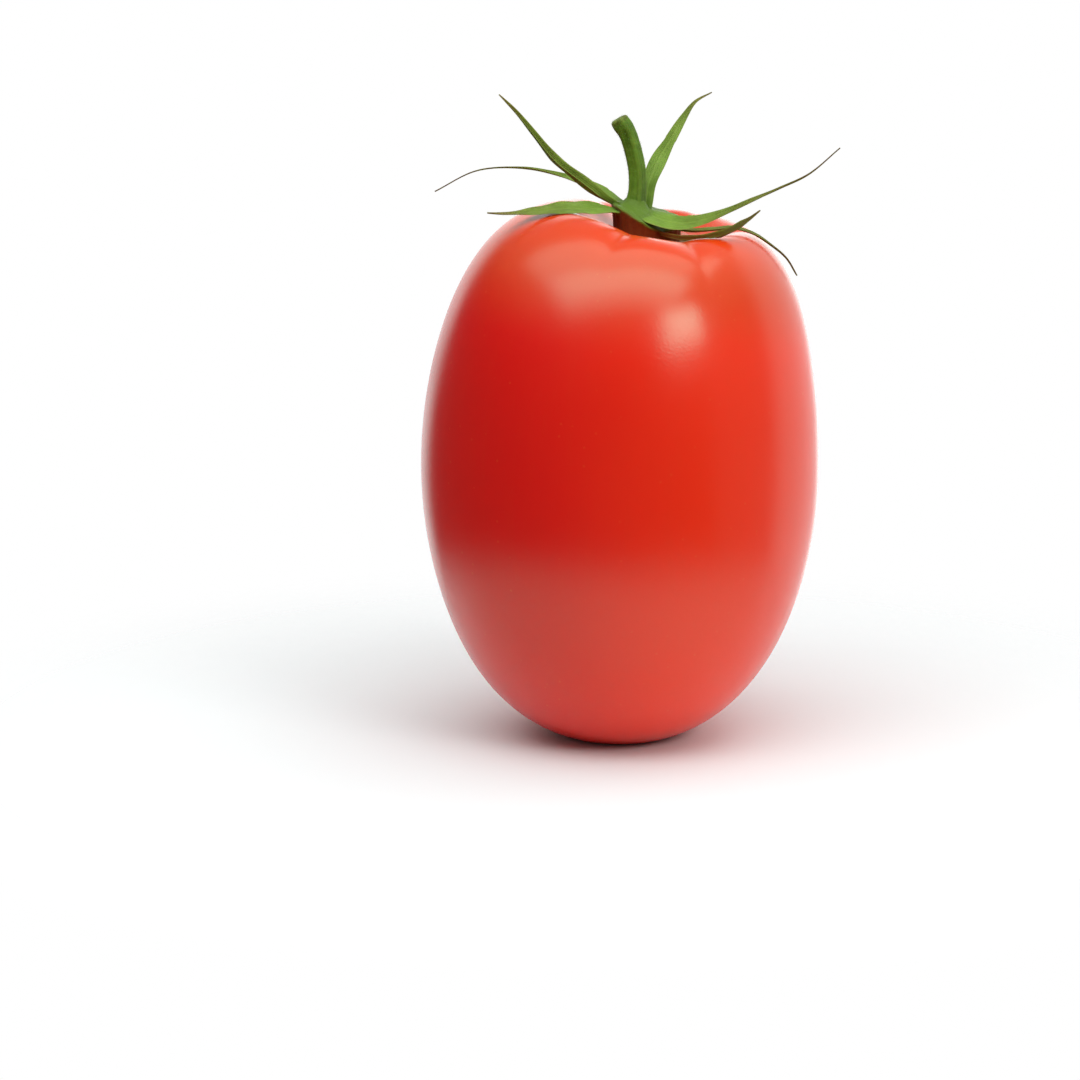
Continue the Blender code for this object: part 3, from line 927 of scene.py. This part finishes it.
@dataclass
class Calyx:
    """The green star: a tilted, dished hub on a short neck, and its sepals.

    Each of the hub's rings has its share of the radius, its height in millimetres, how
    dry it is, and its share of the shift that brings the mound under the stalk.
    """

    centre: Place = (3.6 * MM, -0.6 * MM, 72.2 * MM)
    rings: Rows = (
        (0.98, -0.2, 0.9, 0.0), (1.0, 0.0, 0.35, 0.0), (0.985, 0.16, 0.05, 0.0), (0.92, 0.24, 0.0, 0.0),
        (0.8, 0.2, 0.0, 0.1), (0.64, 0.14, 0.0, 0.5), (0.52, 0.17, 0.0, 0.9), (0.44, 0.28, 0.0, 1.0),
        (0.37, 0.46, 0.0, 1.0), (0.32, 0.7, 0.0, 1.0), (0.284, 1.0, 0.0, 1.0), (0.248, 1.3, 0.0, 1.0),
        (0.2, 1.4, 0.0, 1.0), (0.08, 1.4, 0.0, 1.0))
    radius: float = 5.0 * MM
    neck_radius: float = 4.7 * MM
    mound_shift: float = -1.8 * MM
    droop_depth: float = 1.7 * MM
    droop_turn: float = math.radians(-68)
    droop_width: float = math.radians(48)
    rest_gap: float = 0.12 * MM
    clearance: float = 0.06 * MM
    neck_steps: tuple[float, ...] = (0.2, 0.45, 0.7, 0.88)
    neck_ribs: int = 23
    neck_rib_size: float = 0.012
    rim_lobes: int = 7
    rim_lobe_size: float = 0.03
    rim_wave: float = 0.05 * MM
    soft_reach: float = 1.35
    soft_share: float = 0.4
    blade_thickness: float = 0.42 * MM
    tip_thickness: float = 0.14 * MM
    tip_width: float = 0.16 * MM
    blade_waves: float = 9.5
    ragged: float = 0.05
    stations: int = 72
    across: int = 13
    hub_sides: int = 112
    sepals: tuple[Sepal, ...] = SEPALS
    finish: LeafFinish = field(default_factory=LeafFinish)

    def frame(self) -> Matrix:
        """Places the hub: its middle, and its tilt down to the right."""
        return Matrix.Translation(self.centre) @ Matrix.Rotation(HUB_TILT, 4, "Y")

    def blade_width(self, sepal: Sepal, t: float) -> float:
        """A blade's width at a share of its length.

        Args:
            sepal: The sepal.
            t: The share, from its root at 0 to its tip at 1.

        Returns:
            The width in metres.
        """
        widest = sepal.width * MM
        if t < sepal.widest_at:
            ease = 0.5 - 0.5 * math.cos(math.pi * t / sepal.widest_at)
            return widest * (sepal.root + (1 - sepal.root) * ease)
        left = (1 - t) / (1 - sepal.widest_at)
        return self.tip_width + (widest - self.tip_width) * left ** sepal.taper

    def section(self, half: float, thick: float, fold: float, wave: float) -> np.ndarray:
        """A blade's cross-section, grooved along its top and ribbed along its underside.

        Args:
            half: Half its width.
            thick: Its thickness beside the rib.
            fold: How far its edges rise, as a share of half the width.
            wave: How far one edge rises and the other sinks, as a share of half the width.

        Returns:
            Rows of the place across and the height, round the section.
        """
        over = np.linspace(-1, 1, self.across)
        rows = []
        for across, side, sink, spread in ((over, 1, 0.35, 0.14), (over[::-1][1:-1], -1, 0.55, 0.18)):
            rise = fold * half * across ** 2 + wave * half * across ** 3
            body = thick / 2 * np.sqrt(np.maximum(0.05, 1 - across ** 2))
            height = rise + side * body - sink * thick * bell(across, 0, spread)
            rows.append(np.column_stack((across * half, height)))
        return np.vstack(rows)

    def drape(self, rings: np.ndarray, tree: BVHTree) -> np.ndarray:
        """Lifts a blade where it would cut into the skin, so that it rests on it.

        Args:
            rings: The blade's points, by station and place round the section.
            tree: The skin's surface.

        Returns:
            The points, lifted where needed.
        """
        lift = np.zeros(rings.shape[:2])
        for k, ring in enumerate(rings):
            for column in range(self.across):
                partner = column if column in (0, self.across - 1) else 2 * self.across - 2 - column
                x, y, z = ring[partner]
                ground = height_at(tree, x, y)
                if ground is not None and ground - 3 * MM < z < ground + self.rest_gap:
                    lift[k, column] = ground + self.rest_gap - z
                lift[k, partner] = lift[k, column]
        rings[:, :, 2] += lift
        return rings

    def build_blade(self, sepal: Sepal, seed: int, tree: BVHTree) -> Piece:
        """Builds one sepal's blade.

        Args:
            sepal: The sepal.
            seed: Sets the phase of its waves.
            tree: The skin's surface, which the blade rests on where it meets it.

        Returns:
            The blade, as a closed solid that carries its traits.
        """
        rings = []
        count = 2 * self.across - 2
        places = np.concatenate((np.linspace(-1, 1, self.across), np.linspace(1, -1, self.across)[1:-1]))
        for share, middle, ahead in stations_along(sepal.line, self.stations):
            side = ahead.cross(UP).normalized()
            roll = sepal.roll * min(1, 4 * share) + sepal.twist * share ** 2
            side.rotate(Matrix.Rotation(math.radians(roll), 3, ahead))
            ripple = math.sin(self.blade_waves * share * math.pi + seed * 1.7)
            raggedness = 1 + self.ragged * math.sin(21 * share + seed * 2.3)
            half = self.blade_width(sepal, share) / 2 * raggedness
            thick = self.blade_thickness + (self.tip_thickness - self.blade_thickness) * share ** 0.8
            swing = sepal.wave * ripple * float(smooth(share, 0.15, 0.4))
            shape = self.section(half, min(thick, 1.4 * half), sepal.fold, swing)
            aside, lift = np.outer(shape[:, 0], side), np.outer(shape[:, 1], side.cross(ahead))
            rings.append(np.array(middle) + aside + lift)
        points = self.drape(np.array(rings), tree).reshape(-1, 3)
        blade = add_mesh("sepal_" + sepal.name, points, tube_faces(self.stations, count))
        shares = np.repeat(np.linspace(0, 1, self.stations), count)
        give_trait(blade, Trait.ACROSS, np.tile(places, self.stations))
        give_trait(blade, Trait.ALONG, shares)
        below = np.concatenate((np.zeros(self.across), np.ones(self.across - 2)))
        give_trait(blade, Trait.UNDER, np.tile(below, self.stations))
        dryness = sepal.dry_root + (sepal.dry_tip - sepal.dry_root) * smooth(shares, 0.15, 1.0)
        give_trait(blade, Trait.DRY, dryness)
        return blade

    def droop(self, turn: np.ndarray) -> np.ndarray:
        """How far the hub's rim hangs down at each angle, where the front sepals leave it."""
        aside = (turn - self.droop_turn + math.pi) % math.tau - math.pi
        return self.droop_depth * bell(aside, 0, self.droop_width)

    def neck_rings(self, top: np.ndarray, tree: BVHTree) -> list[np.ndarray]:
        """The neck's rings, from just above the skin up to the hub's rim.

        Args:
            top: The ring under the rim that the neck ends at.
            tree: The skin's surface.

        Returns:
            The rings, from the lowest.
        """
        middle = np.array(self.centre)
        inward = self.neck_radius / self.radius
        foot = middle + (top - middle) * (inward, inward, 1)
        for point in foot:
            point[2] = height_at(tree, point[0], point[1]) + self.clearance
        waist = 1.0 + self.neck_rib_size * np.sin(self.neck_ribs * turns(self.hub_sides))[:, None]
        rings = [foot]
        for share in self.neck_steps:
            ring = foot + (top - foot) * share ** 2
            ring[:, 2] = foot[:, 2] + (top[:, 2] - foot[:, 2]) * share
            ring[:, :2] = middle[:2] + (ring[:, :2] - middle[:2]) * waist
            rings.append(ring)
        return rings

    def build_hub(self, tree: BVHTree) -> Piece:
        """Builds the hub with its neck.

        Args:
            tree: The skin's surface.

        Returns:
            The hub, as a closed solid that carries its traits.
        """
        turn = turns(self.hub_sides)
        matrix = np.array(self.frame())
        rings = []
        for reach, height, dry, share in self.rings:
            lobes = self.rim_lobe_size * (1 - dry) * np.sin(self.rim_lobes * turn)
            around = self.radius * reach * (1 + lobes)
            lift = height * MM - self.droop(turn) * (1 - share) ** 2
            # The stalk's foot, at the mound, keeps an even height.
            lift = lift + self.rim_wave * np.sin(2 * self.rim_lobes * turn) * (1 - dry) * (share < 0.9)
            right = around * np.cos(turn) + share * self.mound_shift
            local = np.column_stack((right, around * np.sin(turn), lift))
            rings.append(local @ matrix[:3, :3].T + matrix[:3, 3])
        neck = self.neck_rings(rings[0], tree)
        points = np.vstack(neck + rings)
        hub = add_mesh("tomato_calyx", points, tube_faces(len(neck) + len(rings), self.hub_sides))
        drys = np.repeat([1.0] * len(neck) + [ring[2] for ring in self.rings], self.hub_sides)
        give_trait(hub, Trait.ACROSS, np.full(len(points), 0.5))
        give_trait(hub, Trait.ALONG, np.zeros(len(points)))
        give_trait(hub, Trait.UNDER, (drys > 0.4).astype(float))
        give_trait(hub, Trait.DRY, drys)
        return hub

    def soften(self, mesh: bpy.types.Mesh, rounds: int = 3) -> None:
        """Softens the creases where the sepals run into the hub.

        Args:
            mesh: The joined calyx.
            rounds: How often each point moves towards its neighbours.
        """
        shape = bmesh.new()
        shape.from_mesh(mesh)
        inverse = self.frame().inverted()
        near = []
        for vert in shape.verts:
            local = inverse @ vert.co
            if math.hypot(local.x, local.y) < self.soft_reach * self.radius and local.z > -0.6 * MM:
                near.append(vert)
        axes = dict.fromkeys(("use_axis_x", "use_axis_y", "use_axis_z"), True)
        for _ in range(rounds):
            bmesh.ops.smooth_vert(shape, verts=near, factor=self.soft_share, **axes)
        shape.to_mesh(mesh)
        shape.free()

    def build(self, skin: Piece) -> Piece:
        """Builds and dresses the calyx.

        Args:
            skin: The fruit's skin, which the neck stops above.

        Returns:
            The calyx, which replaces its node.
        """
        tree = surface_of(skin)
        calyx = self.build_hub(tree)
        pieces = bpy.data.collections.new("sepals")
        bpy.context.scene.collection.children.link(pieces)
        for seed, sepal in enumerate(self.sepals):
            blade = self.build_blade(sepal, seed, tree)
            bpy.context.collection.objects.unlink(blade)
            pieces.objects.link(blade)
        join = calyx.modifiers.new("join sepals", "BOOLEAN")
        join.operation = "UNION"
        join.operand_type = "COLLECTION"
        join.collection = pieces
        join.solver = "MANIFOLD"
        bpy.context.view_layer.update()
        joined = bpy.data.meshes.new_from_object(calyx.evaluated_get(bpy.context.evaluated_depsgraph_get()))
        calyx.modifiers.clear()
        calyx.data = joined
        for blade in list(pieces.objects):
            bpy.data.objects.remove(blade, do_unlink=True)
        bpy.data.collections.remove(pieces)
        self.soften(joined)
        shade(joined)
        finish_piece(calyx, self.finish.material(), Slot.CALYX)
        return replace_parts(calyx, "calyx")


@dataclass
class Stem:
    """The ribbed stalk: flared at its foot, bent to the left, thicker at its cut end.

    Each ring of the cut end has its share of the rim and how far out it lies, in millimetres.
    """

    line: Rows = (
        (1.92, -0.6, 72.85), (2.2, -0.4, 75.4), (2.05, -0.1, 78.3), (1.0, 0.0, 82.2), (-0.25, 0.0, 84.3))
    radius: float = 1.17 * MM
    flare: float = 0.2 * MM
    fillet: float = 0.1 * MM
    knuckle: float = 0.1 * MM
    ribs: int = 5
    rib_size: float = 0.05
    fine_ribs: int = 17
    fine_rib_size: float = 0.010
    lump_size: float = 0.012
    cut_rings: Rows = (
        (0.97, 0.07), (0.9, 0.17), (0.78, 0.25), (0.6, 0.29), (0.35, 0.27), (0.08, 0.24))
    rim_dryness: float = 0.35
    cut_dryness: float = 0.4
    sides: int = 96
    stations: int = 96
    finish: StalkFinish = field(default_factory=StalkFinish)

    def build(self) -> Piece:
        """Builds and dresses the stem.

        Returns:
            The stem, which replaces its node.
        """
        turn = turns(self.sides)
        hub_up = Matrix.Rotation(HUB_TILT, 3, "Y") @ UP
        rings, dry, light = [], [], []
        for along, middle, ahead in stations_along(self.line, self.stations):
            # The foot stands square on the tilted hub.
            ahead = ahead.lerp(hub_up, max(0, 1 - 6 * along)).normalized()
            across = ahead.cross(Vector((0, -1, 0))).normalized()
            front = ahead.cross(across)
            radius = self.radius + self.flare * bell(along, 0, 0.12) + self.fillet * bell(along, 0, 0.045)
            radius = radius + self.knuckle * bell(along, 0.93, 0.08)
            ridge = self.rib_size * np.cos(self.ribs * turn)
            fine = self.fine_rib_size * np.cos(self.fine_ribs * turn + 2 * along) * (1 - bell(along, 1, 0.1))
            lumps = self.lump_size * np.sin(3 * turn + 31 * along) * np.sin(19 * along + 2)
            around = radius * (1 + ridge + fine + lumps)
            aside, forward = around * np.cos(turn), around * np.sin(turn)
            rings.append(np.array(middle) + np.outer(aside, across) + np.outer(forward, front))
            dry.append(np.full(self.sides, self.rim_dryness * smooth(along, 0.95, 1.0)))
            light.append(np.cos(self.ribs * turn))
        centre, rim = np.array(middle), rings[-1]
        for inward, rise in self.cut_rings:
            rings.append(centre + (rim - centre) * inward + np.array(ahead) * rise * MM)
            dry.append(np.full(self.sides, self.cut_dryness))
            light.append(np.zeros(self.sides))
        stem = add_mesh("tomato_stem", np.vstack(rings), tube_faces(len(rings), self.sides))
        give_trait(stem, Trait.DRY, np.concatenate(dry))
        give_trait(stem, Trait.ACROSS, np.concatenate(light))
        finish_piece(stem, self.finish.material(), Slot.STEM)
        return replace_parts(stem, "stem")


@dataclass
class Hairs:
    """Short three-sided hairs, scattered over a green piece."""

    name: str
    slot: Slot
    count: int
    seed: int
    longest: float = 0.34 * MM
    shortest: float = 0.1 * MM
    thickness: float = 0.009 * MM
    lean: float = 0.28
    bend: float = 0.12
    finish: HairFinish = field(default_factory=HairFinish)

    def build(self, ground: Piece) -> Piece:
        """Plants the hairs.

        Args:
            ground: The piece that they grow on.

        Returns:
            All the hairs as one piece.
        """
        draw = np.random.default_rng(self.seed)
        mesh = ground.data
        areas = np.array([face.area for face in mesh.polygons])
        normals = np.array([face.normal for face in mesh.polygons])
        dryness = mesh.attributes[Trait.DRY.value].data
        fresh = np.array([dryness[face.vertices[0]].value < 0.5 for face in mesh.polygons])
        areas = areas * fresh
        chosen = draw.choice(len(areas), size=self.count, p=areas / areas.sum())
        points, faces, shares = [], [], []
        for face in chosen:
            corners = np.array([mesh.vertices[v].co for v in mesh.polygons[face].vertices])
            weights = draw.dirichlet(np.ones(len(corners)))
            foot = weights @ corners - normals[face] * self.thickness
            ahead = normals[face] + draw.normal(0, self.lean, 3)
            ahead /= np.linalg.norm(ahead)
            # Any fixed slant does, since no hair lies along it.
            side = np.cross(ahead, (0.3, 0.5, 0.81))
            side /= np.linalg.norm(side)
            other = np.cross(ahead, side)
            length = draw.uniform(self.shortest, self.longest)
            start = len(points)
            for k in range(3):
                spin = k * math.tau / 3
                points.append(foot + (side * math.cos(spin) + other * math.sin(spin)) * self.thickness)
                shares.append(0.0)
            points.append(foot + ahead * length + side * length * draw.normal(0, self.bend))
            shares.append(1.0)
            faces.append((start + 2, start + 1, start))
            faces += [(start + k, start + (k + 1) % 3, start + 3) for k in range(3)]
        hairs = add_mesh(self.name, np.array(points), faces)
        give_trait(hairs, Trait.ALONG, np.array(shares))
        return finish_piece(hairs, self.finish.material(), self.slot)


@dataclass(frozen=True)
class Softbox:
    """A rectangular lamp, in metres, with the direction in which it shines."""

    name: str
    place: Place
    shines: Place
    width: float
    depth: float
    radiance: float

    def build(self) -> None:
        """Hangs the lamp."""
        light = bpy.data.lights.new(self.name, "AREA")
        light.shape = "RECTANGLE"
        light.size = self.width
        light.size_y = self.depth
        light.energy = self.radiance * math.pi * self.width * self.depth
        lamp = bpy.data.objects.new(self.name, light)
        lamp.location = self.place
        lamp.rotation_euler = Vector(self.shines).to_track_quat("-Z", "Y").to_euler()
        lamp.visible_camera = False
        bpy.context.collection.objects.link(lamp)


@dataclass(frozen=True)
class Wall:
    """A soft white wall: its middle's direction in degrees, its brightness and its edge's cosines."""

    azimuth: float
    elevation: float
    radiance: float
    edge_from: float
    edge_to: float

    def toward(self) -> Place:
        """The way to the wall's middle."""
        turn, rise = math.radians(self.azimuth), math.radians(self.elevation)
        return math.sin(turn) * math.cos(rise), -math.cos(turn) * math.cos(rise), math.sin(rise)


@dataclass
class Studio:
    """A pale floor that fades into white, soft lamps, white walls and a long lens."""

    aim: Vector = field(default_factory=lambda: Vector((0, 0, 36)) * MM)
    elevation: float = math.radians(12)
    distance: float = 551 * MM
    lens: float = 135.0
    aim_left: float = 10.8 * MM
    aim_down: float = 8.8 * MM
    floor_radius: float = 0.34
    floor_sides: int = 96
    fade_from: float = 0.05
    fade_to: float = 0.11
    floor_colour: Colour = (0.78, 0.82, 0.82)
    lamps: tuple[Softbox, ...] = (
        Softbox("overhead_front", (-0.06, -0.43, 0.50), (0, 0, -1), 0.75, 0.14, 1.8),
        Softbox("overhead_middle", (-0.04, -0.26, 0.50), (0, 0, -1), 0.75, 0.20, 3.5),
        Softbox("overhead_back", (-0.06, -0.02, 0.50), (0, 0, -1), 0.75, 0.28, 1.8),
        Softbox("front_right", (0.31, -0.40, 0.33), (-0.31, 0.40, -0.29), 0.24, 0.14, 7.8),
    )
    walls: tuple[Wall, ...] = (
        Wall(115, 0, 0.2, 0.36, 0.52),
        Wall(140, 0, 0.75, 0.64, 0.80),
        Wall(-172, 0, 1.1, 0.80, 0.93),
        Wall(0, 90, 0.3, 0.35, 0.75),
    )
    ambient: float = 0.12

    def place_camera(self) -> None:
        """Looks at the fruit from a little above."""
        data = bpy.data.cameras.new("camera")
        data.lens = self.lens
        data.sensor_width = 36.0
        data.clip_start = 0.01
        data.clip_end = 10.0
        camera = bpy.data.objects.new("camera", data)
        up = Vector((0, math.sin(self.elevation), math.cos(self.elevation)))
        ahead = Vector((0, math.cos(self.elevation), -math.sin(self.elevation)))
        target = self.aim - Vector((self.aim_left, 0, 0)) - up * self.aim_down
        camera.location = target - ahead * self.distance
        camera.rotation_euler = (math.pi / 2 - self.elevation, 0, 0)
        bpy.context.collection.objects.link(camera)
        bpy.context.scene.camera = camera

    def lay_floor(self) -> None:
        """Lays a pale floor whose far parts fade out."""
        turn = turns(self.floor_sides)
        rim = np.column_stack((np.cos(turn), np.sin(turn), 0 * turn)) * self.floor_radius
        floor = add_mesh("floor", rim, [list(range(self.floor_sides))])
        nodes, material = Nodes.paint("floor_pale")
        nodes.set(Base_Color=self.floor_colour, Roughness=0.9, Specular_IOR_Level=0.1)
        away = nodes.vectors("DISTANCE", nodes.place(), (0.0, 0.0, 0.0))
        nodes.set(Alpha=nodes.remap(away, self.fade_from, self.fade_to, 1.0, 0.0))
        floor.data.materials.append(material)

    def light_room(self) -> None:
        """Puts white walls round the fruit, with a dark room in front of it."""
        world = bpy.data.worlds.new("room")
        bpy.context.scene.world = world
        nodes = Nodes(world)
        room = nodes.tree.nodes["Background"]
        way = nodes.node("TexCoord").outputs["Generated"]
        total = self.ambient
        for wall in self.walls:
            facing = nodes.vectors("DOT_PRODUCT", way, wall.toward())
            glow = nodes.remap(facing, wall.edge_from, wall.edge_to, 0.0, wall.radiance)
            total = nodes.plus(total, glow)
        nodes.put(room.inputs["Strength"], total)
        backdrop = nodes.node("Background")
        for background in (room, backdrop):
            nodes.put(background.inputs["Color"], WHITE)
        mix = nodes.node("MixShader")
        nodes.put(mix.inputs[0], nodes.node("LightPath").outputs["Is Camera Ray"])
        nodes.put(mix.inputs[1], room.outputs[0])
        nodes.put(mix.inputs[2], backdrop.outputs[0])
        nodes.put(nodes.tree.nodes["World Output"].inputs["Surface"], mix.outputs[0])

    def build(self) -> None:
        """Sets up the whole studio."""
        self.place_camera()
        self.lay_floor()
        self.light_room()
        for lamp in self.lamps:
            lamp.build()
        bpy.context.scene.view_settings.view_transform = "Standard"


def main() -> None:
    """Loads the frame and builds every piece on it."""
    logging.basicConfig(level=logging.INFO, format="%(message)s")
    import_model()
    Studio().build()
    skin = Fruit().build()
    LOG.info("skin: %d faces", len(skin.data.polygons))
    calyx = Calyx().build(skin)
    LOG.info("calyx: %d faces", len(calyx.data.polygons))
    stem = Stem().build()
    LOG.info("stem: %d faces", len(stem.data.polygons))
    calyx_hairs = Hairs("calyx_hairs", Slot.CALYX, 1900, 7)
    stem_hairs = Hairs("stem_hairs", Slot.STEM, 1500, 11)
    for hairs, ground in ((calyx_hairs, calyx), (stem_hairs, stem)):
        LOG.info("%s: %d faces", hairs.name, len(hairs.build(ground).data.polygons))


if __name__ == "__main__":
    main()
